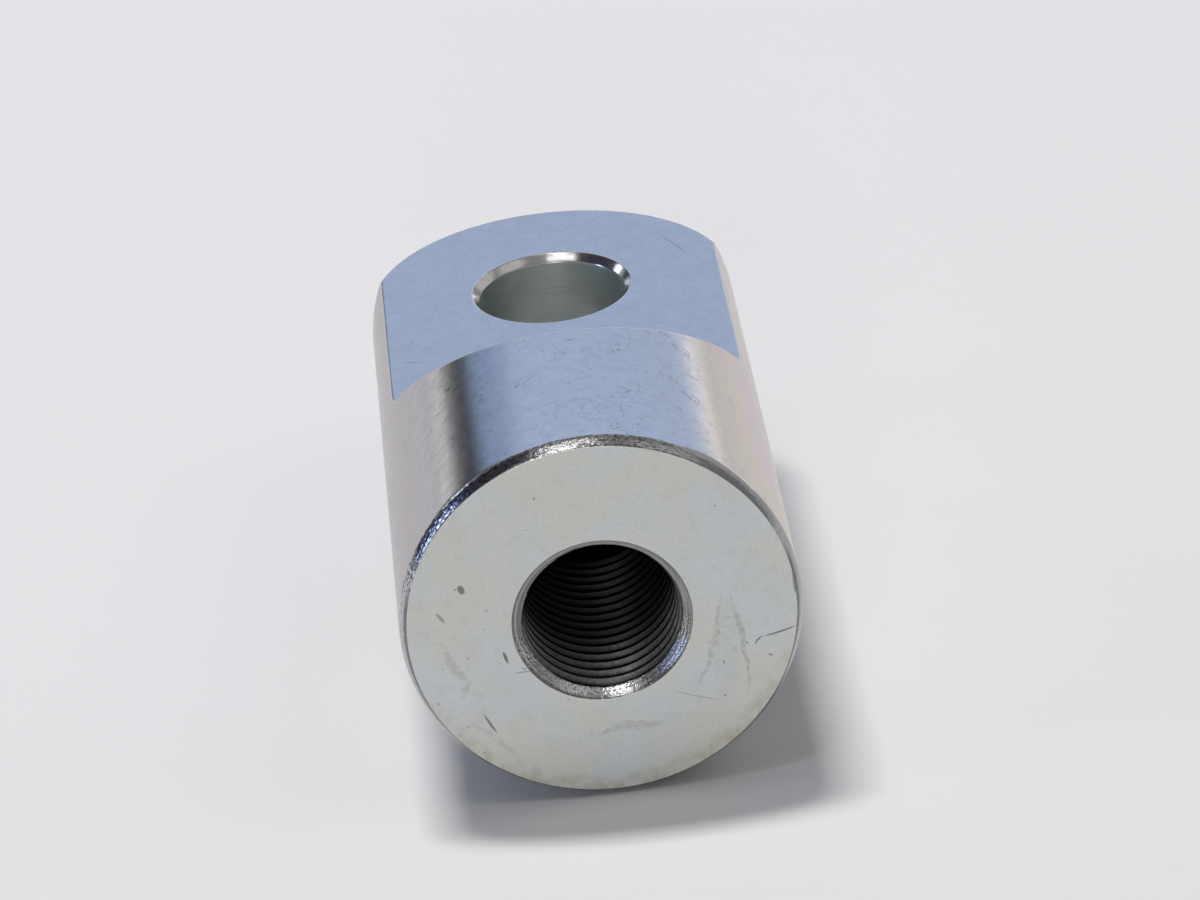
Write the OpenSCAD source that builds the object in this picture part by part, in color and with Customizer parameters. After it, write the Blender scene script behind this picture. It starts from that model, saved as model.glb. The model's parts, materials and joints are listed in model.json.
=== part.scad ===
// Eye nut turned from round bar: a threaded end, a milled tang and a cross hole for a pin.
// It stands on its threaded end, with the bar's axis along Z and the pin's axis along Y.

/* [Bar] */
// Diameter of the round bar
bar_d = 37; // [30:0.5:48]
// Width of the bevel on the threaded end's rim, across the face
rim_bevel_w = 0.6; // [0.2:0.1:2]
// Height of the bevel on the threaded end's rim, along the bar
rim_bevel_h = 1; // [0.2:0.1:3]

/* [Eye] */
// Height of the pin's axis above the threaded end
pin_height = 55.5; // [50:0.5:80]
// Diameter of the pin hole
pin_d = 14.5; // [8:0.1:18]
// Width of the bevel at both mouths of the pin hole
pin_bevel = 0.75; // [0.25:0.05:2]
// How much further the domed end reaches from the pin's axis than the bar's side does
dome_extra = 1; // [0.2:0.1:4]

/* [Tang] */
// Thickness of the tang between its two milled flats
tang_t = 15; // [10:0.1:20]
// Height at which the milled shoulders leave the bar's round surface
shoulder_height = 23; // [20:0.5:28]
// Angle between a milled shoulder and the bar's axis
shoulder_angle = 45; // [40:1:70]

/* [Thread] */
// Nominal diameter of the thread
thread_d = 16; // [10:0.5:18]
// Pitch of the thread
thread_pitch = 1.5; // [1:0.25:2]
// Depth of the full thread
thread_depth = 24; // [12:0.5:26]
// How much deeper the tapping hole goes than the full thread
tap_runout = 3; // [1:0.5:3.5]
// Angle across the drilled hole's pointed end
drill_angle = 118; // [90:1:140]
// How much wider than the thread the countersunk mouth is, all round
mouth_margin = 0.25; // [0.05:0.05:1]

/* [Hidden] */

$fn = 128;

// How far a cut runs past the surface that it opens
overcut = 1;

bar_r = bar_d / 2;
dome_r = bar_r + dome_extra;
top_height = pin_height + dome_r;

// A metric thread's crests stand 1.0825 pitches inside its nominal diameter
thread_crest_factor = 1.0825;
thread_bore_r = (thread_d - thread_crest_factor * thread_pitch) / 2;
thread_bore_depth = thread_depth + tap_runout;
drill_point_h = thread_bore_r / tan(drill_angle / 2);
mouth_r = thread_d / 2 + mouth_margin;

// Half of the bar's section as it comes off the lathe, with its axis along the left edge
module turned_section() {
    difference() {
        intersection() {
            square([bar_r, top_height]);
            union() {
                square([bar_r, pin_height]);
                translate([0, pin_height])
                    circle(r = dome_r);
            }
        }
        polygon([
            [bar_r - rim_bevel_w, 0],
            [bar_r - rim_bevel_w, -overcut],
            [bar_r + overcut, -overcut],
            [bar_r + overcut, rim_bevel_h],
            [bar_r, rim_bevel_h]
        ]);
    }
}

// Side view of what the mill takes off one side: a flat that ends in a slanted shoulder
module milled_section() {
    flat_at = tang_t / 2;
    outside = bar_r + overcut;
    rise = (outside - flat_at) / tan(shoulder_angle);
    foot = shoulder_height + (bar_r - flat_at) / tan(shoulder_angle);
    polygon([
        [flat_at, foot],
        [outside, foot - rise],
        [outside, top_height + overcut],
        [flat_at, top_height + overcut]
    ]);
}

// Both milled sides, cut straight across the bar
module milled_flats() {
    across = bar_d + 2 * overcut;
    for (side = [0, 1])
        mirror([0, side, 0])
            rotate([90, 0, 90])
                linear_extrude(height = across, center = true)
                    milled_section();
}

// Cross hole for the pin, with a bevel where it meets each flat
module pin_hole() {
    pin_r = pin_d / 2;
    mouth_at = tang_t / 2 - pin_bevel;
    bevel_h = pin_bevel + overcut;
    translate([0, 0, pin_height])
        rotate([90, 0, 0]) {
            cylinder(h = tang_t + 2 * overcut, r = pin_r, center = true);
            for (side = [0, 1])
                mirror([0, 0, side])
                    translate([0, 0, mouth_at])
                        cylinder(h = bevel_h, r1 = pin_r, r2 = pin_r + bevel_h);
        }
}

// Blind tapping hole: a countersunk mouth, the bore at the thread's crests and the drill's point
module stud_hole() {
    mouth_h = mouth_r - thread_bore_r;
    translate([0, 0, -overcut])
        cylinder(h = thread_bore_depth + overcut, r = thread_bore_r);
    translate([0, 0, thread_bore_depth])
        cylinder(h = drill_point_h, r1 = thread_bore_r, r2 = 0);
    translate([0, 0, -overcut])
        cylinder(h = mouth_h + overcut, r1 = mouth_r + overcut, r2 = thread_bore_r);
}

module eye_nut() {
    color("lightsteelblue")
        difference() {
            rotate_extrude()
                turned_section();
            milled_flats();
            pin_hole();
            stud_hole();
        }
}

eye_nut();
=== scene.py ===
"""Eye nut of zinc-plated steel, lying on a pale table and seen from above its threaded end.

The part's frame has the bar's axis along Z and the pin's axis along Y. The table touches the bar's round
side, so the table's up is -Y, its back is +Z and its right is +X. Lengths are in millimetres until a mesh
is made.
"""

import json
import math

import bpy
import numpy as np
from mathutils import Matrix, Quaternion, Vector


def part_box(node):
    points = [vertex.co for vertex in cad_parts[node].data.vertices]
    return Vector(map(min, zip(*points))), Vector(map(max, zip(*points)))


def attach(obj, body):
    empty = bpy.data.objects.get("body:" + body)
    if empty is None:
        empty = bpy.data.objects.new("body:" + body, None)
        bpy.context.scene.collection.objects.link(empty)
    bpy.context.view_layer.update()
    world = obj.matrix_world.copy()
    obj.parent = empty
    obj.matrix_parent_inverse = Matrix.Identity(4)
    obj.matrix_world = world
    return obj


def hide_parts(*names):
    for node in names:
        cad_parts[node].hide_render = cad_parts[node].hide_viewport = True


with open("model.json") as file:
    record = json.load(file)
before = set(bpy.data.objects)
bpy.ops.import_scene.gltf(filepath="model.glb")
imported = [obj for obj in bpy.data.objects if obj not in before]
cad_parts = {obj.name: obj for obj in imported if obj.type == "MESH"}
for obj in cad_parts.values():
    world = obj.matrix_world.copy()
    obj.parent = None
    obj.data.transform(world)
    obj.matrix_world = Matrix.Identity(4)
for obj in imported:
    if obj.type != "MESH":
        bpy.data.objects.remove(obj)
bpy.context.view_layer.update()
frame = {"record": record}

MM = 0.001

# Sizes that the frame gives
mounts = {mount["name"]: mount for mount in frame["record"]["mounts"]}
low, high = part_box("eye_nut")
BAR_R = round((high.x - low.x) / 2 / MM, 2)
TOP_Z = round(high.z / MM, 2)
PIN_R = mounts["pin_hole"]["dims"]["r_mm"]
PIN_Z = mounts["pin_hole"]["pos_m"][2] / MM
HALF_TANG = mounts["back_cheek"]["pos_m"][1] / MM
PIN_BEVEL = HALF_TANG - mounts["pin_hole"]["dims"]["length_mm"] / 2
DOME_R = TOP_Z - PIN_Z
CREST_R = mounts["stud_thread"]["dims"]["r_mm"]

# Sizes of the turned and milled forms
RIM_BEVEL_W = 0.6
RIM_BEVEL_H = 1.0
SHOULDER_Z = 23.0
FOOT_R = 0.8

# The countersunk mouth: the radius that it loses per millimetre of depth, less on the side cut deeper
MOUTH_R = 8.25
MOUTH_SLOPE = 0.84
MOUTH_LEAN = 0.12
MOUTH_DEEP_SIDE = math.radians(75)

# The thread, whose grooves start a little before the mouth's cone ends and deepen over a short ramp
PITCH = 1.5
ROOT_R = 8.0
THREAD_LEAD_IN = 0.4
THREAD_RAMP = PITCH / 3
THREAD_END_Z = 24.0
BORE_END_Z = MOUTH_R - CREST_R + mounts["stud_thread"]["dims"]["length_mm"]
DRILL_HALF_ANGLE = math.radians(59)

# How far the broken edges reach from their corners
MILLED_EDGE = 0.3
TURNED_EDGE = 0.12
RIM_EDGE = 0.45
CREST_EDGE = 0.2
PIN_EDGE = 0.12

# How finely the surfaces are divided
WELD_STEPS_PER_MM = 1e4
SAME_PLACE = 1e-6
CORNER_STEPS = 4
RIM_CORNER_STEPS = 6
LONGEST_TURNED_ROW = 1.2
LONGEST_PIN_ROW = 1.0
SIDE_STEPS = 18
SHOULDER_STEPS = 64
BLEND_ROWS = 12
BLEND_CROWDING = 1.6
SIDE_ROWS = 25
SIDE_FOOT_GAP = 0.18
SIDE_TOP_GAP = 0.3
DOME_STEPS = 64
EDGE_ROWS = 5
FILLET_ROWS = 5
RAMP_ROWS = 11
POINT_ROWS = 7
# Shares of the way from a flat's outline to its hole at which the flat's rings lie
FLAT_RINGS = [0, 0.03, 0.1, 0.2, 0.32, 0.45, 0.58, 0.7, 0.81, 0.9, 0.97, 1]
# Part of a pitch between a corner of the thread's profile and the rows beside it
THREAD_CORNER = 0.02

# Finishes, in the order of the piece's material slots
END_FACE, BEVEL, BAR, FLAT, BORE, PIN_MOUTH, MOUTH, THREAD = range(8)


class Skin:
    """Grids of points that share their edges, welded into one closed mesh."""

    def __init__(self):
        self.points = []
        self.maps = []
        self.quads = []
        self.finishes = []
        self.count = 0

    def add(self, grid, surface_map, finish, flip=False):
        """Joins each grid point to its neighbours in the next row and column.

        The finish is one for all, one for each row of quads or one for each quad.
        """
        rows, columns = grid.shape[:2]
        index = np.arange(rows * columns).reshape(rows, columns) + self.count
        corners = [index[:-1, :-1], index[:-1, 1:], index[1:, 1:], index[1:, :-1]]
        quads = np.stack(corners[::-1] if flip else corners, axis=-1)
        finish = np.asarray(finish)
        per_quad = np.broadcast_to(finish[:, None] if finish.ndim == 1 else finish, quads.shape[:2])
        self.points.append(grid.reshape(-1, 3))
        self.maps.append(surface_map.reshape(-1, 2))
        self.quads.append(quads.reshape(-1, 4))
        self.finishes.append(per_quad.reshape(-1))
        self.count += rows * columns

    def mesh(self, name):
        """Welds points that lie within a tenth of a micron.

        A quad with two corners in one place becomes a triangle, and one with less left is dropped.
        """
        points = np.concatenate(self.points)
        quads = np.concatenate(self.quads)
        finishes = np.concatenate(self.finishes)
        surface_map = np.concatenate(self.maps)
        keys = np.round(points * WELD_STEPS_PER_MM).astype(np.int64)
        _, first, weld = np.unique(keys, axis=0, return_index=True, return_inverse=True)
        weld = weld.reshape(-1)
        welded = weld[quads]
        closed = welded == np.roll(welded, -1, axis=1)
        crossed = (welded[:, 0] == welded[:, 2]) | (welded[:, 1] == welded[:, 3])
        whole = (closed.sum(1) == 0) & ~crossed
        pinched = (closed.sum(1) == 1) & ~crossed
        kept = np.argsort(closed[pinched], axis=1, kind="stable")[:, :3]
        kept = np.sort(kept, axis=1)
        triangles = np.take_along_axis(quads[pinched], kept, axis=1)
        loops = np.concatenate([quads[whole].reshape(-1), triangles.reshape(-1)])
        sizes = np.concatenate([np.full(whole.sum(), 4), np.full(pinched.sum(), 3)])
        starts = np.concatenate([[0], np.cumsum(sizes)[:-1]])
        mesh = bpy.data.meshes.new(name)
        mesh.vertices.add(len(first))
        mesh.vertices.foreach_set("co", (points[first] * MM).reshape(-1))
        mesh.loops.add(len(loops))
        mesh.loops.foreach_set("vertex_index", weld[loops])
        mesh.polygons.add(len(sizes))
        mesh.polygons.foreach_set("loop_start", starts)
        mesh.update(calc_edges=True)
        uv = mesh.uv_layers.new(name="surface")
        uv.data.foreach_set("uv", surface_map[loops].reshape(-1))
        mesh.polygons.foreach_set("material_index", np.concatenate([finishes[whole], finishes[pinched]]))
        mesh.validate()
        mesh.shade_smooth()
        return mesh


def stacked(*parts):
    """Stretches arrays to one shape and stacks them into points, or into places on the surface map."""
    return np.stack(np.broadcast_arrays(*parts), axis=-1)


def bend(t, start, corner, end):
    """A parabola from start to end, as t goes from 0 to 1, that leans toward a corner between them."""
    return (1 - t) ** 2 * start + 2 * t * (1 - t) * corner + t**2 * end


def rounded(corners, reach, steps=CORNER_STEPS):
    """A polyline whose inner corners are each replaced by a parabola that starts and ends a reach away."""
    corners = np.asarray(corners, float)
    reaches = np.broadcast_to(reach, len(corners) - 2)
    t = np.linspace(0, 1, steps + 1)[:, None]
    runs = [corners[:1]]
    for before, corner, after, reach in zip(corners[:-2], corners[1:-1], corners[2:], reaches):
        start = corner + (before - corner) / np.linalg.norm(before - corner) * reach
        end = corner + (after - corner) / np.linalg.norm(after - corner) * reach
        runs.append(bend(t, start, corner, end))
    runs.append(corners[-1:])
    line = np.concatenate(runs)
    step = np.linalg.norm(np.diff(line, axis=0), axis=1)
    return line[np.concatenate([[True], step > SAME_PLACE])]


def spread(line, longest):
    """The same polyline with its long runs cut into equal steps."""
    step = np.linalg.norm(np.diff(line, axis=0), axis=1)
    cuts = np.maximum(1, np.ceil(step / longest).astype(int))
    at = np.concatenate([i + np.arange(n) / n for i, n in enumerate(cuts)] + [[len(line) - 1]])
    whole = np.arange(len(line))
    return np.stack([np.interp(at, whole, line[:, k]) for k in range(2)], axis=1)


def run_length(line):
    """Distance along a polyline from its start."""
    return np.concatenate([[0], np.cumsum(np.linalg.norm(np.diff(line, axis=0), axis=1))])


# The milled side in section: a flat, a small fillet at its foot and a shoulder that climbs at 45 degrees
FOOT_Z = SHOULDER_Z + BAR_R - HALF_TANG
FLAT_Z = FOOT_Z + FOOT_R * math.tan(math.pi / 8)
RAMP_Z = FLAT_Z - FOOT_R * math.sin(math.pi / 4)
EDGE_ANGLE = math.asin(HALF_TANG / BAR_R)
DOME_Z = PIN_Z + math.sqrt(DOME_R**2 - BAR_R**2)


def milled_height(z):
    """Half the thickness at height z.

    It is level on the flat, follows a round fillet, then goes one up for one along on the shoulder.
    """
    drop = np.clip(FLAT_Z - z, 0, FOOT_R)
    fillet = HALF_TANG + FOOT_R - np.sqrt(np.maximum(0, FOOT_R**2 - drop**2))
    return np.where(z < RAMP_Z, BAR_R + SHOULDER_Z - z, fillet)


def shoulder_edge_z(angle):
    """Height at which the milled side meets the bar's round surface at an angle around the bar."""
    half = BAR_R * np.sin(angle)
    fillet = FLAT_Z - np.sqrt(np.maximum(0, FOOT_R**2 - (HALF_TANG + FOOT_R - half) ** 2))
    return np.where(half > milled_height(RAMP_Z), SHOULDER_Z + BAR_R - half, fillet)


# Angles of the columns around the bar: the tang's two narrow sides, and the two shoulders between them
side_inset = MILLED_EDGE / BAR_R
side_angles = np.linspace(side_inset - EDGE_ANGLE, EDGE_ANGLE - side_inset, SIDE_STEPS + 1)
shoulder_angles = np.linspace(EDGE_ANGLE, math.pi - EDGE_ANGLE, SHOULDER_STEPS + 1)
half_turn = np.concatenate([side_angles, shoulder_angles])
around = np.concatenate([half_turn, half_turn + math.pi, [side_angles[0] + 2 * math.pi]])

# Heights at which the bar's round side leaves its level rows, and at which the tang's narrow sides start
BLEND_Z = 19.0
SIDE_START_Z = FLAT_Z + SIDE_FOOT_GAP


def carried_round(r, z):
    """Points at radius r and height z in every column around the bar's axis."""
    return stacked(r * np.cos(around), r * np.sin(around), z)


def turned_end(skin):
    """The end's profile carried round the bar: mouth edge, end face, rim bevel and side up to BLEND_Z."""
    profile = rounded(
        [
            [MOUTH_R - TURNED_EDGE, TURNED_EDGE],
            [MOUTH_R, 0],
            [BAR_R - RIM_BEVEL_W, 0],
            [BAR_R, RIM_BEVEL_H],
            [BAR_R, BLEND_Z],
        ],
        [TURNED_EDGE, TURNED_EDGE, RIM_EDGE],
        RIM_CORNER_STEPS,
    )
    profile = spread(profile, LONGEST_TURNED_ROW)
    middle_r, middle_z = ((profile[1:] + profile[:-1]) / 2).T
    on_mouth = middle_r < MOUTH_R + TURNED_EDGE / 2
    on_face = middle_z < TURNED_EDGE / 8
    on_bevel = middle_z < RIM_BEVEL_H + RIM_EDGE / 4
    finish = np.select([on_mouth, on_face, on_bevel], [MOUTH, END_FACE, BEVEL], BAR)
    grid = carried_round(profile[:, :1], profile[:, 1:])
    skin.add(grid, stacked(around * BAR_R, run_length(profile)[:, None]), finish)


def blended_side(skin):
    """The bar's round side from BLEND_Z up to the shoulders' edges and the foot of the narrow sides."""
    inner_edge = shoulder_edge_z(shoulder_angles) - MILLED_EDGE
    half_top = np.concatenate([np.full(len(side_angles), SIDE_START_Z), inner_edge])
    top = np.concatenate([half_top, half_top, half_top[:1]])
    share = 1 - np.linspace(1, 0, BLEND_ROWS + 1)[:, None] ** BLEND_CROWDING
    z = BLEND_Z + share * (top - BLEND_Z)
    skin.add(carried_round(BAR_R, z), stacked(around * BAR_R, z), BAR)


# Rows of the strip that climbs one narrow side of the tang, crosses the dome and goes down the other side
side_z = np.concatenate([np.linspace(SIDE_START_Z, DOME_Z - SIDE_TOP_GAP, SIDE_ROWS + 1), [DOME_Z]])


def tang_strip(angles):
    """The bar's round side and the dome between the flats.

    Each column keeps the y that its angle has on the bar, and on the dome it follows a circle at that y.
    """
    x = BAR_R * np.cos(angles)
    y = BAR_R * np.sin(angles)
    climb = stacked(x, y, side_z[:, None])
    radius = np.sqrt(DOME_R**2 - y**2)
    first = np.arctan2(DOME_Z - PIN_Z, x)
    turn = first + np.linspace(0, 1, DOME_STEPS + 1)[:, None] * (math.pi - 2 * first)
    dome = stacked(radius * np.cos(turn), y, PIN_Z + radius * np.sin(turn))
    descent = climb[::-1] * np.array([-1, 1, 1])
    return np.concatenate([climb[:-1], dome, descent[1:]])


def plan_inward(points):
    """Unit x and z that point into the milled side from its outline above the shoulder."""
    x, z = points[:, 0], points[:, 2] - PIN_Z
    on_dome = points[:, 2] > DOME_Z - SAME_PLACE
    reach = np.hypot(x, z)
    return np.where(on_dome, -x / reach, -np.sign(x)), np.where(on_dome, -z / reach, 0)


def closed_loop(line):
    """A line that ends where it starts."""
    return np.concatenate([line, line[:1]])


def milled_side(skin, sign):
    """One milled side: its broken edge, its shoulder and its flat, a fan of rays about the pin hole.

    Returns the angles of the rays, which the pin hole's columns share.
    """
    strip_inset = tang_strip(side_angles[-1:])[:, 0]
    strip_edge = tang_strip(np.array([EDGE_ANGLE]))[:, 0]
    angles = shoulder_angles[::-1]
    ring = stacked(BAR_R * np.cos(angles), BAR_R * np.sin(angles), shoulder_edge_z(angles))
    ring_inset = ring - np.array([0, 0, MILLED_EDGE])

    side_in_x, side_in_z = plan_inward(strip_edge)
    in_x = np.concatenate([side_in_x, -np.cos(angles)])
    in_z = np.concatenate([side_in_z, np.sin(angles)])
    outline = np.concatenate([strip_edge, ring])
    milled_x = outline[:, 0] + MILLED_EDGE * in_x
    milled_z = outline[:, 2] + MILLED_EDGE * in_z
    milled = stacked(milled_x, milled_height(milled_z), milled_z)
    turned = np.concatenate([strip_inset, ring_inset])
    mirror = np.array([1, sign, 1])
    inside_out = sign < 0

    t = np.linspace(0, 1, EDGE_ROWS + 1)[:, None, None]
    broken_edge = bend(t, closed_loop(turned), closed_loop(outline), closed_loop(milled))
    along = run_length(closed_loop(outline)[:, [0, 2]])
    across = np.linspace(0, MILLED_EDGE, EDGE_ROWS + 1)[:, None]
    skin.add(broken_edge * mirror, stacked(along, across), FLAT, flip=not inside_out)

    lower = milled[len(strip_edge) :]
    fillet_z = np.maximum(np.linspace(FLAT_Z, RAMP_Z, FILLET_ROWS + 1)[:, None], lower[:, 2])
    share = np.linspace(0, 1, RAMP_ROWS + 1)[1:, None]
    ramp_z = fillet_z[-1] + share * (lower[:, 2] - fillet_z[-1])
    z = np.concatenate([fillet_z, ramp_z])
    ramp = stacked(lower[:, 0], milled_height(z), z)
    skin.add(ramp * mirror, ramp[..., [0, 2]], FLAT, flip=inside_out)

    loop = closed_loop(np.concatenate([milled[: len(strip_edge)], ramp[0]]))
    turn = np.unwrap(np.arctan2(loop[:, 2] - PIN_Z, loop[:, 0]))
    hole_r = PIN_R + PIN_BEVEL + PIN_EDGE
    hole = stacked(hole_r * np.cos(turn), HALF_TANG, PIN_Z + hole_r * np.sin(turn))
    flat = loop + np.array(FLAT_RINGS)[:, None, None] * (hole - loop)
    skin.add(flat * mirror, flat[..., [0, 2]], FLAT, flip=not inside_out)
    return turn


def tang_sides(skin):
    """The narrow sides of the tang and the dome over the eye."""
    grid = tang_strip(side_angles)
    length = run_length(grid[:, SIDE_STEPS // 2])[:, None]
    skin.add(grid, stacked(side_angles * BAR_R, length), BAR)


def pin_hole(skin, turn):
    """The hole's profile carried round the pin's axis: both bevels and the wall between them."""
    wall_y = HALF_TANG - PIN_BEVEL
    mouth_r = PIN_R + PIN_BEVEL
    profile = rounded(
        [
            [mouth_r + PIN_EDGE, HALF_TANG],
            [mouth_r, HALF_TANG],
            [PIN_R, wall_y],
            [PIN_R, -wall_y],
            [mouth_r, -HALF_TANG],
            [mouth_r + PIN_EDGE, -HALF_TANG],
        ],
        PIN_EDGE,
    )
    profile = spread(profile, LONGEST_PIN_ROW)
    r, y = profile[:, :1], profile[:, 1:]
    grid = stacked(r * np.cos(turn), y, PIN_Z + r * np.sin(turn))
    middle_y = (y[1:, 0] + y[:-1, 0]) / 2
    finish = np.where(np.abs(middle_y) > wall_y, PIN_MOUTH, BORE)
    skin.add(grid, stacked(turn * PIN_R, y), finish, flip=True)


def tapped_hole(skin):
    """A helical grid: each row climbs one pitch in a turn, so the crests and roots run along the rows.

    The radius at a point is the larger of the thread's profile and the countersunk cone, with a smooth
    step where they cross. The cone leans: its slope falls by MOUTH_LEAN times the cosine of the angle from
    its deep side. Rows are cut off level at the mouth and at the end of the bore. The groove deepens where
    the cone ends, and past the last full turn it fades out over one pitch.
    """
    crest, flank, root = 1 / 4, 5 / 16, 1 / 8
    root_start = crest + flank
    root_end = root_start + root
    on_crest = [0, THREAD_CORNER, crest / 2, crest - THREAD_CORNER, crest]
    down_flank = [crest + THREAD_CORNER, crest + flank / 2, root_start - THREAD_CORNER]
    on_root = [root_start, root_start + root / 2, root_end]
    up_flank = [root_end + THREAD_CORNER, 1 - flank / 2, 1 - THREAD_CORNER]
    places = np.array(on_crest + down_flank + on_root + up_flank)
    depth = np.interp(places, [0, crest, root_start, root_end, 1], [0, 0, 1, 1, 0])
    turns = np.arange(-1, math.ceil(BORE_END_Z / PITCH) + 1)
    steps = (turns[:, None] + places).reshape(-1, 1)
    groove = np.tile(depth, len(turns)).reshape(-1, 1)
    turned = (around - around[0]) / (2 * math.pi)
    z = np.clip(PITCH * (steps + turned), TURNED_EDGE, BORE_END_Z)

    slope = MOUTH_SLOPE - MOUTH_LEAN * np.cos(around - MOUTH_DEEP_SIDE)
    cone_r = MOUTH_R - TURNED_EDGE - (z - TURNED_EDGE) * slope
    cone_end_z = (MOUTH_R - CREST_R) / slope
    fade_in = np.clip((z - cone_end_z + THREAD_LEAD_IN) / THREAD_RAMP, 0, 1)
    fade_out = np.clip((THREAD_END_Z + PITCH - z) / PITCH, 0, 1)
    thread_r = CREST_R + (ROOT_R - CREST_R) * groove * fade_in * fade_out
    overlap = np.maximum(0, CREST_EDGE - np.abs(thread_r - cone_r))
    r = np.maximum(thread_r, cone_r) + overlap**2 / (4 * CREST_EDGE)
    on_cone = cone_r > thread_r
    finish = np.where(on_cone[1:, 1:] & on_cone[:-1, :-1], MOUTH, THREAD)
    skin.add(carried_round(r, z), stacked(around * BAR_R, z), finish, flip=True)

    share = np.linspace(1, 0, POINT_ROWS + 1)[:, None]
    tip_z = BORE_END_Z + (1 - share) * CREST_R / math.tan(DRILL_HALF_ANGLE)
    skin.add(carried_round(share * CREST_R, tip_z), stacked(around * BAR_R, tip_z), THREAD, flip=True)


def make_eye_nut():
    """All the surfaces of the part in one mesh, shaded evenly across its broken edges."""
    skin = Skin()
    turned_end(skin)
    blended_side(skin)
    tang_sides(skin)
    turn = milled_side(skin, 1)
    milled_side(skin, -1)
    pin_hole(skin, turn)
    tapped_hole(skin)
    piece = bpy.data.objects.new("eye_nut_body", skin.mesh("eye_nut_body"))
    bpy.context.scene.collection.objects.link(piece)
    piece.modifiers.new("even_shading", "WEIGHTED_NORMAL")
    return piece


def add_node(tree, kind, inputs, **settings):
    """Adds one node and returns its outputs. An input is a plain value or another node's output."""
    made = tree.nodes.new(kind)
    for name, value in settings.items():
        setattr(made, name, value)
    for name, value in inputs.items():
        if isinstance(value, bpy.types.NodeSocket):
            tree.links.new(value, made.inputs[name])
        else:
            made.inputs[name].default_value = value
    return made.outputs


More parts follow.
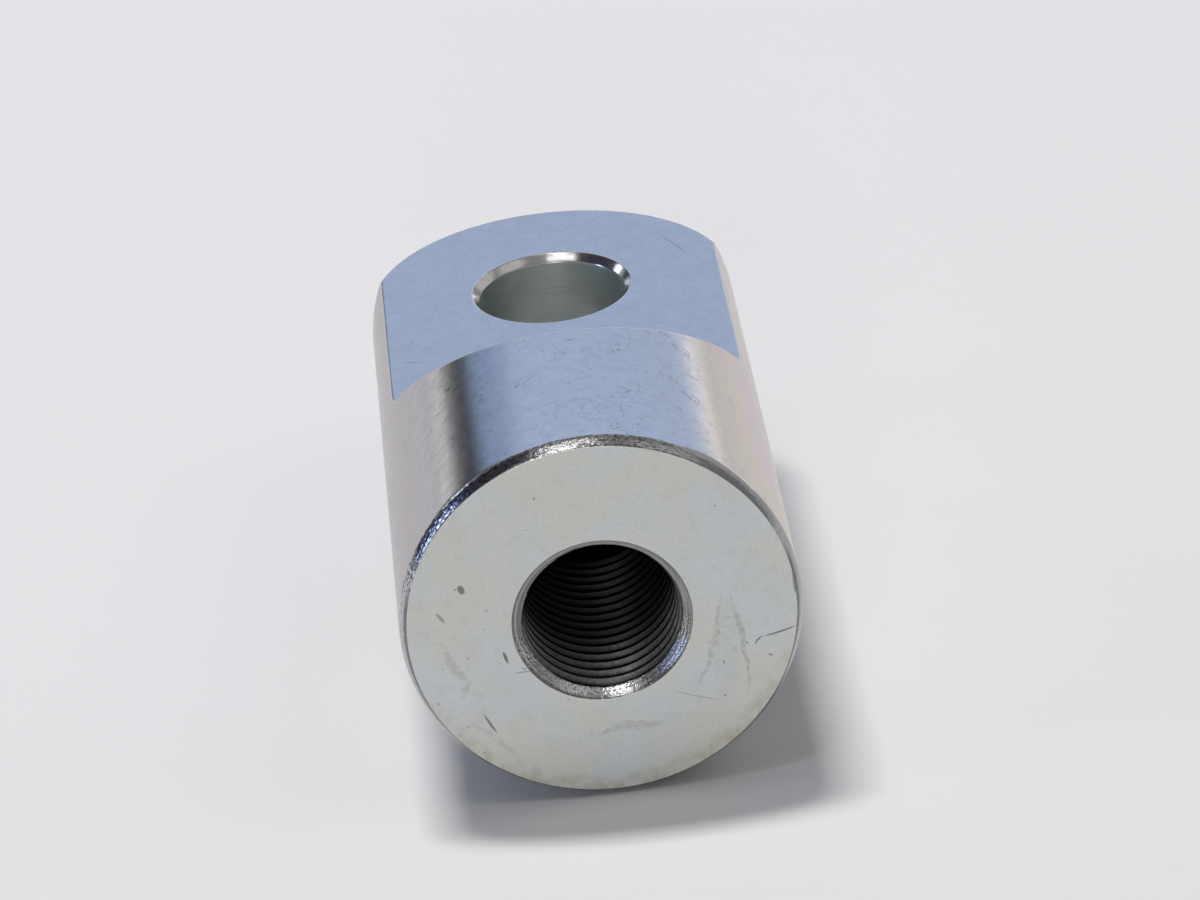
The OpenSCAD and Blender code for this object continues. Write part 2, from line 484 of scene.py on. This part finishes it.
class Finish:
    """A finish of the plated steel. Short calls add the nodes that draw its pattern."""

    def __init__(self, name, metallic=1):
        self.material = bpy.data.materials.new(name)
        self.material.use_nodes = True
        self.tree = self.material.node_tree
        self.shader = self.tree.nodes["Principled BSDF"]
        self.shader.inputs["Metallic"].default_value = metallic

    def node(self, kind, inputs, **settings):
        """The outputs of a new node in this finish."""
        return add_node(self.tree, kind, inputs, **settings)

    def on_body(self, stretch=(1, 1, 1)):
        """Place in the part's own frame, in millimetres."""
        place = self.node("ShaderNodeTexCoord", {})["Object"]
        scale = [share / MM for share in stretch]
        return self.node("ShaderNodeMapping", {"Vector": place, "Scale": scale})["Vector"]

    def on_skin(self, stretch=(1, 1, 1)):
        """Place along the surface: around or across it first, then along it, in millimetres."""
        place = self.node("ShaderNodeUVMap", {}, uv_map="surface")["UV"]
        return self.node("ShaderNodeMapping", {"Vector": place, "Scale": stretch})["Vector"]

    def split(self, place):
        """The X, Y and Z of a place."""
        return self.node("ShaderNodeSeparateXYZ", {"Vector": place})

    def distance(self, place):
        """How far a place is from the middle."""
        return self.node("ShaderNodeVectorMath", {0: place}, operation="LENGTH")["Value"]

    def noise(self, place, scale=1, detail=3, fineness=0.5, warp=0):
        """A cloudy value between 0 and 1. It changes faster with a larger scale."""
        inputs = {
            "Vector": place,
            "Scale": scale,
            "Detail": detail,
            "Roughness": fineness,
            "Distortion": warp,
        }
        return self.node("ShaderNodeTexNoise", inputs)["Fac"]

    def swayed(self, place, scale, reach):
        """A place on the end face, moved by a slow wander of up to half a reach each way."""
        wander = self.node("ShaderNodeTexNoise", {"Vector": place, "Scale": scale, "Detail": 3})["Color"]
        inputs = {0: wander, 1: (reach, reach, 0), 2: place}
        moved = self.node("ShaderNodeVectorMath", inputs, operation="MULTIPLY_ADD")["Vector"]
        inputs = {0: moved, 1: (reach / 2, reach / 2, 0)}
        return self.node("ShaderNodeVectorMath", inputs, operation="SUBTRACT")["Vector"]

    def ease(self, value, low, high, start=0, end=1):
        """Goes smoothly from start to end while a value goes from low to high."""
        inputs = {"Value": value, "From Min": low, "From Max": high, "To Min": start, "To Max": end}
        return self.node("ShaderNodeMapRange", inputs, interpolation_type="SMOOTHSTEP")["Result"]

    def result(self, operation, *terms):
        """The result of one arithmetic node."""
        return self.node("ShaderNodeMath", dict(enumerate(terms)), operation=operation)[0]

    def tint(self, share, first, second):
        """Goes from the first colour to the second by a share."""
        colours = [(*c, 1) if isinstance(c, tuple) else c for c in (first, second)]
        return self.node("ShaderNodeMix", {0: share, 6: colours[0], 7: colours[1]}, data_type="RGBA")[2]

    def relief(self, height, depth, under=None):
        """Bumps the surface by a depth in millimetres."""
        inputs = {"Strength": 1, "Distance": depth * MM, "Height": height}
        if under:
            inputs["Normal"] = under
        return self.node("ShaderNodeBump", inputs)["Normal"]

    def stroke(self, place, start, end, bow, width):
        """Share of a thin bowed ellipse.

        It is 4s(1 - s) along the chord, less the square of the offset from a parabola, eased at the edge.
        """
        chord = Vector(end) - Vector(start)
        inputs = {
            "Vector": place,
            "Location": (*start, 0),
            "Rotation": (0, 0, math.atan2(chord.y, chord.x)),
            "Scale": (chord.length, width, 1),
        }
        local = self.split(self.node("ShaderNodeMapping", inputs, vector_type="TEXTURE")["Vector"])
        along, across = local["X"], local["Y"]
        within = self.result("SUBTRACT", along, self.result("MULTIPLY", along, along))
        offset = self.result("MULTIPLY_ADD", within, -4 * bow / width, across)
        less = self.result("MULTIPLY", offset, self.result("MULTIPLY", offset, -1))
        inside = self.result("MULTIPLY_ADD", within, 4, less)
        soft_edge = 0.7
        return self.ease(inside, 0, soft_edge)

    def strokes(self, place, lines):
        """The strongest of several strokes, each with its own strength."""
        total = None
        for start, end, bow, width, strength in lines:
            share = self.result("MULTIPLY", self.stroke(place, start, end, bow, width), strength)
            total = share if total is None else self.result("MAXIMUM", total, share)
        return total

    def brushed_around(self, amount):
        """Spreads highlights across the tool marks, which run along the surface map's first direction."""
        quarter_turn = 0.25
        self.shader.inputs["Anisotropic"].default_value = amount
        self.shader.inputs["Anisotropic Rotation"].default_value = quarter_turn
        along = self.node("ShaderNodeTangent", {}, direction_type="UV_MAP", uv_map="surface")["Tangent"]
        self.tree.links.new(along, self.shader.inputs["Tangent"])

    def finish(self, colour, roughness, normal):
        """Joins the pattern to the shader and returns the material."""
        for name, value in {"Base Color": colour, "Roughness": roughness, "Normal": normal}.items():
            self.tree.links.new(value, self.shader.inputs[name])
        return self.material


# Marks on the end face as start, end, bow, half width and strength, in millimetres across the face
FACE_MARKS = [
    ((13.6, 4.5), (14.5, 3.55), -0.12, 0.1, 0.8),
    ((14.2, 3.7), (17.9, 2.85), 0.1, 0.11, 0.8),
    ((-9.35, 1.85), (-8.95, 3.35), 0.0, 0.18, 0.8),
    ((-11.8, 8.1), (-10.65, 10.55), 0.05, 0.16, 0.7),
    ((-15.0, -2.95), (-14.2, -1.65), 0.0, 0.2, 0.5),
    ((-8.7, 4.35), (-6.8, 4.2), 0.05, 0.09, 0.5),
    ((-12.6, -5.5), (-12.25, -4.4), 0.0, 0.38, 0.75),
    ((17.75, -3.4), (17.75, -0.2), -0.1, 0.3, 0.6),
    ((5.4, 8.05), (10.6, 10.0), 0.1, 0.09, 0.3),
]
# Edges of dried water on the end face, given the same way
FACE_TIDES = [
    ((10.9, -2.4), (7.9, 8.8), -0.6, 0.3, 0.5),
    ((11.4, -2.4), (12.5, 9.9), -0.7, 0.26, 0.55),
    ((11.3, -2.0), (10.3, 9.5), -0.2, 1.6, 0.14),
    ((-2.6, 12.3), (5.5, 12.1), -0.95, 0.4, 0.4),
    ((-15.0, -0.4), (-12.6, 5.0), 0.3, 0.5, 0.4),
    ((-12.6, 4.4), (-13.4, 6.6), 0.15, 0.4, 0.35),
    ((-13.0, 9.0), (-9.0, 13.4), -0.2, 0.5, 0.3),
]
# Light scratches on the flats, in millimetres across and along the bar
FLAT_MARKS = [
    ((11.8, 64.4), (14.0, 59.5), 0.1, 0.16, 0.4),
    ((-15.7, 42.7), (-13.7, 41.9), 0.0, 0.13, 0.45),
    ((-14.8, 46.0), (-14.2, 47.1), 0.0, 0.1, 0.3),
]


def end_face_finish():
    """Matte plating with cloudy tint, dried water edges, dark nicks and faint rings from facing."""
    green_grey = (0.68, 0.705, 0.65)
    blue_grey = (0.69, 0.725, 0.755)
    yellowed = (0.66, 0.64, 0.54)
    dull_patch = (0.52, 0.54, 0.52)
    grain_grey = (0.5, 0.52, 0.5)
    water_edge = (0.37, 0.37, 0.325)
    rust_brown = (0.5, 0.46, 0.36)
    nick_black = (0.09, 0.09, 0.08)
    face = Finish("end_face", metallic=0.35)
    place = face.on_body((1, 1, 0))
    cloud = face.noise(place, scale=0.11, detail=4)
    grain = face.noise(place, scale=4.5, detail=3, fineness=0.6)
    patch = face.noise(place, scale=0.7, detail=5, fineness=0.6)
    stain = face.noise(place, scale=0.2, detail=5, warp=0.6)
    broken = face.noise(place, scale=1.6, detail=4, fineness=0.6)
    speck = face.noise(place, scale=1.1, detail=2)
    rings = face.noise(face.on_skin((0.04, 5, 1)), detail=2)
    colour = face.tint(face.ease(cloud, 0.35, 0.65), green_grey, blue_grey)
    colour = face.tint(face.ease(stain, 0.52, 0.75, end=0.4), colour, yellowed)
    colour = face.tint(face.ease(patch, 0.5, 0.75, end=0.3), colour, dull_patch)
    colour = face.tint(face.ease(grain, 0.5, 0.72, end=0.5), colour, grain_grey)
    tide = face.strokes(face.swayed(place, scale=0.45, reach=1.6), FACE_TIDES)
    tide = face.result("MULTIPLY", tide, face.ease(broken, 0.3, 0.6))
    colour = face.tint(tide, colour, water_edge)
    low_side = face.ease(face.split(place)["Y"], 3, 12)
    rust = face.result("MULTIPLY", face.ease(face.distance(place), 15.8, 17.8), low_side)
    rust = face.result("MULTIPLY", rust, face.ease(patch, 0.4, 0.6, 0.15, 0.7))
    colour = face.tint(rust, colour, rust_brown)
    specks = face.ease(speck, 0.72, 0.76, end=0.6)
    nicks = face.result("MAXIMUM", face.strokes(place, FACE_MARKS), specks)
    colour = face.tint(nicks, colour, nick_black)
    normal = face.relief(rings, depth=0.0015)
    normal = face.relief(grain, depth=0.004, under=normal)
    return face.finish(colour, face.ease(cloud, 0.3, 0.7, 0.55, 0.62), normal)


def rim_finish():
    """Coarsely turned bevel: facets that glint and dark pits, which thin out on its right and low sides,
    with painted shade on its right side and along its inner edge.
    """
    dark_facet = (0.45, 0.45, 0.46)
    light_facet = (0.62, 0.62, 0.62)
    pit_black = (0.05, 0.05, 0.05)
    # Painted shade on the bevel's right side
    painted_right_shade = (0.34, 0.345, 0.36)
    # Painted shade along the bevel's inner edge
    painted_edge_shade = (0.12, 0.12, 0.13)
    thinned = 0.25
    rim = Finish("rim_bevel")
    facet = rim.noise(rim.on_skin((1.8, 3.6, 1)), detail=2, fineness=0.6)
    pit = rim.noise(rim.on_skin((2.2, 4, 1)), detail=2, fineness=0.6)
    place = rim.split(rim.on_body())
    low_side = rim.ease(place["Y"], -6.5, -3.5)
    right_share = rim.ease(place["X"], 3, 13, 1, thinned)
    coarse = rim.result("MULTIPLY", right_share, rim.ease(low_side, 0, 1, 1, thinned))
    colour = rim.tint(rim.ease(facet, 0.35, 0.65), dark_facet, light_facet)
    pits = rim.result("MULTIPLY", rim.ease(pit, 0.48, 0.62, end=0.85), coarse)
    colour = rim.tint(pits, colour, pit_black)
    # Painted shade: darker toward the right side
    colour = rim.tint(rim.ease(place["X"], 3, 13, end=0.6), colour, painted_right_shade)
    # Painted shade along the inner edge, except at the top
    outline = rim.result("MULTIPLY", rim.ease(place["Z"], 0.5, 0.2, end=0.8), low_side)
    colour = rim.tint(outline, colour, painted_edge_shade)
    bumps = rim.relief(rim.result("MULTIPLY", facet, coarse), depth=0.036)
    return rim.finish(colour, rim.ease(pit, 0.4, 0.6, 0.1, 0.2), bumps)


def mouth_finish():
    """Countersunk cone: rings left by the cutter, chatter marks on its low side and painted shade as a fine
    dark line at its outer edge.
    """
    bright_ring = (0.84, 0.83, 0.81)
    dull_ring = (0.44, 0.44, 0.45)
    pit_grey = (0.14, 0.14, 0.16)
    # Painted shade for the fine dark line along the outer edge
    painted_edge_shade = (0.1, 0.1, 0.1)
    mouth = Finish("thread_mouth")
    mouth.brushed_around(0.75)
    place = mouth.split(mouth.on_body())
    ring = mouth.noise(mouth.on_skin((0.02, 4.5, 1)), detail=3, fineness=0.6)
    facet = mouth.noise(mouth.on_skin((1.5, 6, 1)), detail=2, fineness=0.6)
    low_side = mouth.ease(place["Y"], -3, 4, 0.2, 1)
    colour = mouth.tint(mouth.ease(ring, 0.46, 0.58), bright_ring, dull_ring)
    pits = mouth.result("MULTIPLY", mouth.ease(facet, 0.48, 0.66, end=0.7), low_side)
    colour = mouth.tint(pits, colour, pit_grey)
    # Painted shade: a dark line close to the end face
    colour = mouth.tint(mouth.ease(place["Z"], 0.22, 0.08, end=0.7), colour, painted_edge_shade)
    normal = mouth.relief(ring, depth=0.013)
    chatter = mouth.result("MULTIPLY", facet, low_side)
    normal = mouth.relief(chatter, depth=0.05, under=normal)
    return mouth.finish(colour, mouth.ease(low_side, 0.2, 1, 0.42, 0.15), normal)


def pin_mouth_finish():
    """Smooth bevel at the mouths of the pin hole, with faint rings."""
    light_grey = (0.7, 0.69, 0.66)
    mid_grey = (0.6, 0.6, 0.59)
    mouth = Finish("pin_mouth")
    ring = mouth.noise(mouth.on_skin((0.2, 8, 1)), detail=3)
    cloud = mouth.noise(mouth.on_body(), scale=0.9, detail=4)
    colour = mouth.tint(mouth.ease(cloud, 0.35, 0.65), light_grey, mid_grey)
    roughness = mouth.ease(cloud, 0.35, 0.65, 0.14, 0.2)
    return mouth.finish(colour, roughness, mouth.relief(ring, depth=0.002))


def bar_finish():
    """Drawn bar under plating: fine grain, wandering scratches, specks, a warm tint on its right flank and
    painted shade on its left flank.
    """
    sheen = (0.8, 0.775, 0.77, 1)
    light_grey = (0.63, 0.64, 0.65)
    mid_grey = (0.57, 0.58, 0.6)
    rosy = (0.84, 0.74, 0.76)
    straw = (0.86, 0.79, 0.66)
    # Painted shade on the left flank
    painted_left_flank_shade = (0.54, 0.525, 0.53)
    scratch_grey = (0.25, 0.26, 0.28)
    bar = Finish("bar_side")
    bar.shader.inputs["Specular Tint"].default_value = sheen
    skin = bar.on_skin()
    body = bar.on_body()
    streak = bar.noise(bar.on_skin((1.5, 0.1, 1)), detail=4, fineness=0.6)
    mottle = bar.noise(body, scale=0.8, detail=6, fineness=0.7)
    grain = bar.noise(body, scale=7, detail=3, fineness=0.6)
    tinge = bar.noise(bar.on_skin((0.35, 0.03, 1)), detail=2)
    path = bar.noise(skin, scale=0.32, detail=3, warp=1.2)
    where = bar.noise(skin, scale=0.16, detail=1)
    fleck = bar.noise(body, scale=1.6, detail=4)
    across = bar.split(body)["X"]
    colour = bar.tint(bar.ease(mottle, 0.4, 0.7), light_grey, mid_grey)
    warm = bar.tint(bar.ease(tinge, 0.42, 0.58), rosy, straw)
    colour = bar.tint(bar.ease(across, 9, 16.5, end=0.85), colour, warm)
    # Painted shade: the left flank darker
    colour = bar.tint(bar.ease(across, -12, -17, end=0.8), colour, painted_left_flank_shade)
    off_path = bar.result("ABSOLUTE", bar.result("SUBTRACT", path, 0.5))
    line = bar.ease(off_path, 0.009, 0.002)
    scratches = bar.result("MULTIPLY", line, bar.ease(where, 0.48, 0.6, end=0.55))
    specks = bar.ease(fleck, 0.63, 0.75, end=0.5)
    colour = bar.tint(bar.result("MAXIMUM", scratches, specks), colour, scratch_grey)
    normal = bar.relief(streak, depth=0.003)
    normal = bar.relief(grain, depth=0.005, under=normal)
    return bar.finish(colour, bar.ease(mottle, 0.35, 0.65, 0.15, 0.2), normal)


def flat_finish():
    """Satin milled flat: even fine grain, a little cloud and a few light scratches."""
    light_grey = (0.56, 0.58, 0.61)
    mid_grey = (0.53, 0.545, 0.57)
    grain_grey = (0.38, 0.39, 0.42)
    scratch_grey = (0.2, 0.21, 0.24)
    flat = Finish("milled_flat")
    grain = flat.noise(flat.on_body(), scale=5, detail=3, fineness=0.6)
    patch = flat.noise(flat.on_body(), scale=0.5, detail=5, fineness=0.6)
    colour = flat.tint(flat.ease(patch, 0.35, 0.7), light_grey, mid_grey)
    colour = flat.tint(flat.ease(grain, 0.5, 0.72, end=0.5), colour, grain_grey)
    colour = flat.tint(flat.strokes(flat.on_skin(), FLAT_MARKS), colour, scratch_grey)
    roughness = flat.ease(patch, 0.35, 0.65, 0.215, 0.235)
    return flat.finish(colour, roughness, flat.relief(grain, depth=0.003))


def bore_finish():
    """Reamed wall: close rings around the pin's axis on greenish plating, with painted shade at the sides.
    """
    dull_ring = (0.64, 0.69, 0.65)
    bright_ring = (0.76, 0.8, 0.77)
    yellowed = (0.62, 0.62, 0.52)
    # Painted shade toward the wall's left and right ends
    painted_side_shade = (0.26, 0.33, 0.33)
    bore = Finish("pin_bore", metallic=0.75)
    bore.brushed_around(0.6)
    rings = bore.noise(bore.on_skin((0.15, 6, 1)), detail=4, fineness=0.6)
    cloud = bore.noise(bore.on_body(), scale=0.35, detail=1)
    colour = bore.tint(bore.ease(rings, 0.35, 0.65), dull_ring, bright_ring)
    colour = bore.tint(bore.ease(cloud, 0.45, 0.75, end=0.5), colour, yellowed)
    off_middle = bore.result("ABSOLUTE", bore.split(bore.on_body())["X"])
    # Painted shade: darker away from the middle of the wall
    colour = bore.tint(bore.ease(off_middle, 3, 7.2, end=0.6), colour, painted_side_shade)
    roughness = bore.ease(cloud, 0.3, 0.7, 0.32, 0.4)
    return bore.finish(colour, roughness, bore.relief(rings, depth=0.004))


def thread_finish():
    """Grey crests near the mouth, darkened by painted shade further into the hole and in the roots."""
    # The crests' greys are very dark, partly as painted shade of the hole.
    dark_crest = (0.12, 0.124, 0.12)
    light_crest = (0.17, 0.174, 0.17)
    # Painted shade: the colour goes near black deeper in the hole
    painted_depth_shade = (0.02, 0.02, 0.022)
    # Painted shade in the thread's roots
    painted_root_shade = (0.02, 0.02, 0.02)
    shaded_root_from_r = CREST_R + 0.25
    shaded_root_full_r = ROOT_R - 0.05
    thread = Finish("thread")
    body = thread.on_body()
    radius = thread.distance(thread.on_body((1, 1, 0)))
    grain = thread.noise(body, scale=3, detail=4)
    colour = thread.tint(thread.ease(grain, 0.35, 0.65), dark_crest, light_crest)
    # Painted shade deepening from the mouth into the hole
    colour = thread.tint(thread.ease(thread.split(body)["Z"], 1, 11), colour, painted_depth_shade)
    # Painted shade in the roots, by distance from the axis
    colour = thread.tint(thread.ease(radius, shaded_root_from_r, shaded_root_full_r), colour, painted_root_shade)
    roughness = thread.ease(grain, 0.3, 0.7, 0.42, 0.34)
    return thread.finish(colour, roughness, thread.relief(grain, depth=0.004))


piece = make_eye_nut()
finishes = [
    end_face_finish(),
    rim_finish(),
    bar_finish(),
    flat_finish(),
    bore_finish(),
    pin_mouth_finish(),
    mouth_finish(),
    thread_finish(),
]
for finish in finishes:
    piece.data.materials.append(finish)
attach(piece, "root")
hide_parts("eye_nut")


def on_table(right, back, up):
    """A place given in the table's directions, in metres."""
    return Vector((right, -up, back))


TABLE_REACH = 1.5
TABLE_COLOUR = (0.7, 0.687, 0.687, 1)
TABLE_ROUGHNESS = 0.7


def make_table():
    """A level sheet under the bar. Seen from below it lets the light through, so it never hides the part."""
    mesh = bpy.data.meshes.new("table")
    reach, table_y = TABLE_REACH, BAR_R * MM
    corners = [(-reach, -reach), (reach, -reach), (reach, reach), (-reach, reach)]
    mesh.from_pydata([(x, table_y, z) for x, z in corners], [], [(0, 1, 2, 3)])
    material = bpy.data.materials.new("table_top")
    material.use_nodes = True
    tree = material.node_tree
    top = tree.nodes["Principled BSDF"]
    top.inputs["Base Color"].default_value = TABLE_COLOUR
    top.inputs["Roughness"].default_value = TABLE_ROUGHNESS
    clear = add_node(tree, "ShaderNodeBsdfTransparent", {})["BSDF"]
    from_below = add_node(tree, "ShaderNodeNewGeometry", {})["Backfacing"]
    sides = {"Fac": from_below, 1: top.outputs["BSDF"], 2: clear}
    shown = add_node(tree, "ShaderNodeMixShader", sides)["Shader"]
    tree.links.new(shown, tree.nodes["Material Output"].inputs["Surface"])
    mesh.materials.append(material)
    table = bpy.data.objects.new("table", mesh)
    bpy.context.scene.collection.objects.link(table)


make_table()

# The place that the lamps face
LAMP_AIM = on_table(0, 0.03, 0)


def panel(name, at, size, radiance, colour, tilt=0, mirrored=True):
    """A soft lamp that faces the part, seen in metal or not.

    Its power is its radiance times pi times its area.
    """
    data = bpy.data.lights.new(name, "AREA")
    data.shape = "RECTANGLE"
    data.size, data.size_y = size
    data.energy = radiance * math.pi * size[0] * size[1]
    data.color = colour
    lamp = bpy.data.objects.new(name, data)
    lamp.location = at
    lamp.visible_glossy = mirrored
    facing = (LAMP_AIM - at).to_track_quat("-Z", "Y")
    lamp.rotation_euler = (facing @ Quaternion((0, 0, 1), tilt)).to_euler()
    bpy.context.scene.collection.objects.link(lamp)


OVERHEAD = on_table(-0.2, 0.34, 1.55)
panel("overhead_lamp", OVERHEAD, (0.5, 0.14), 79, (1, 0.99, 0.97), mirrored=False)
panel("right_fill", on_table(0.9, -0.25, 1.0), (0.8, 0.8), 0.8, (1, 0.99, 0.98), mirrored=False)
panel("overhead_gleam", OVERHEAD, (0.5, 0.14), 12, (1, 0.99, 0.97))
panel("ceiling_gleam", on_table(-0.14, 0.1, 1.5), (0.72, 0.14), 2.6, (1, 1, 0.99))
panel("mouth_gleam", on_table(-0.2, -0.28, 1.4), (0.34, 0.12), 11, (1, 1, 1))
panel("front_lamp", on_table(-0.34, -0.49, 1.26), (0.72, 0.2), 1.8, (1, 1, 1), tilt=-0.4)
panel("front_strip", on_table(0.1, -1.4, 0.09), (1.8, 0.18), 6.8, (1, 1, 0.97))
panel("right_wall", on_table(1.2, 0.75, 0.5), (1.3, 0.9), 0.28, (1, 0.99, 0.97))
panel("right_ceiling", on_table(0.84, -0.14, 1.1), (0.7, 0.6), 0.3, (1, 0.98, 0.95))
panel("back_window", on_table(0.12, 1.2, 0.68), (1.48, 1.08), 0.63, (0.455, 0.62, 0.965))
panel("left_window", on_table(-1.25, -0.02, 0.17), (1.1, 0.3), 1.4, (0.3, 0.45, 1))
panel("left_gleam", on_table(-1.2, -0.02, 0.12), (0.95, 0.15), 4, (0.65, 0.8, 1))
panel("left_pane", on_table(-0.86, 0.72, 0.46), (0.22, 0.2), 3, (0.7, 0.82, 1))
panel("skirting", on_table(0, 1.3, 0.065), (3, 0.13), 0.95, (1, 0.98, 0.95))

# What the camera, metal and matte surfaces get from the room
BACKGROUND = (0.84, 0.83, 0.84, 1)
ROOM_GREY = (0.27, 0.267, 0.275, 1)
ROOM_LIGHT = (0.05, 0.052, 0.06, 1)
# Dark parts of the room: direction, cosines where the dark begins and is full, and colour
DARK_PARTS = [
    (on_table(-0.44, 0.87, 0.2), 0.955, 0.985, (0.05, 0.053, 0.065, 1)),
    (on_table(-0.7, 0.1, 0.7), 0.86, 0.92, (0.05, 0.045, 0.06, 1)),
    (on_table(-0.95, 0.1, 0.2), 0.87, 0.93, (0.04, 0.045, 0.07, 1)),
]


def make_room():
    """Dim light from all round. Metal sees a grey room with three dark parts. The camera sees it pale."""
    world = bpy.data.worlds.new("room")
    world.use_nodes = True
    bpy.context.scene.world = world
    tree = world.node_tree

    def mixed(share, first, second):
        """Goes from the first colour to the second by a share."""
        return add_node(tree, "ShaderNodeMix", {0: share, 6: first, 7: second}, data_type="RGBA")[2]

    direction = add_node(tree, "ShaderNodeTexCoord", {})["Generated"]
    room = ROOM_GREY
    for toward, begins, full, dark in DARK_PARTS:
        inputs = {0: direction, 1: toward.normalized()}
        nearness = add_node(tree, "ShaderNodeVectorMath", inputs, operation="DOT_PRODUCT")["Value"]
        inputs = {"Value": nearness, "From Min": begins, "From Max": full}
        room = mixed(add_node(tree, "ShaderNodeMapRange", inputs)["Result"], room, dark)
    ray = add_node(tree, "ShaderNodeLightPath", {})
    seen = mixed(ray["Is Camera Ray"], room, BACKGROUND)
    inputs = {0: ray["Is Camera Ray"], 1: ray["Is Glossy Ray"]}
    shown = add_node(tree, "ShaderNodeMath", inputs, operation="MAXIMUM")["Value"]
    light = mixed(shown, ROOM_LIGHT, seen)
    tree.links.new(light, tree.nodes["Background"].inputs["Color"])


make_room()

# The camera's place and aim in the part's frame, its roll and its lens
CAMERA_AT = Vector((-10.174, -226.414, -401.997))
CAMERA_AIM = Vector((2.152, -5.0, 23.891))
CAMERA_ROLL = math.radians(-6.198)
CAMERA_LENS = 152.0
SENSOR_W = 36


def make_camera():
    """Looks from its place to its aim, first level with the table and then rolled about its view."""
    data = bpy.data.cameras.new("camera")
    data.sensor_width = SENSOR_W
    data.lens = CAMERA_LENS
    camera = bpy.data.objects.new("camera", data)
    bpy.context.scene.collection.objects.link(camera)
    forward = (CAMERA_AIM - CAMERA_AT).normalized()
    level = forward.cross(on_table(0, 0, 1)).normalized()
    upright = level.cross(forward)
    right = math.cos(CAMERA_ROLL) * level + math.sin(CAMERA_ROLL) * upright
    turn = Matrix((right, right.cross(forward), -forward)).transposed().to_4x4()
    camera.matrix_world = Matrix.Translation(CAMERA_AT * MM) @ turn
    bpy.context.scene.camera = camera


make_camera()

bpy.context.scene.view_settings.view_transform = "Standard"
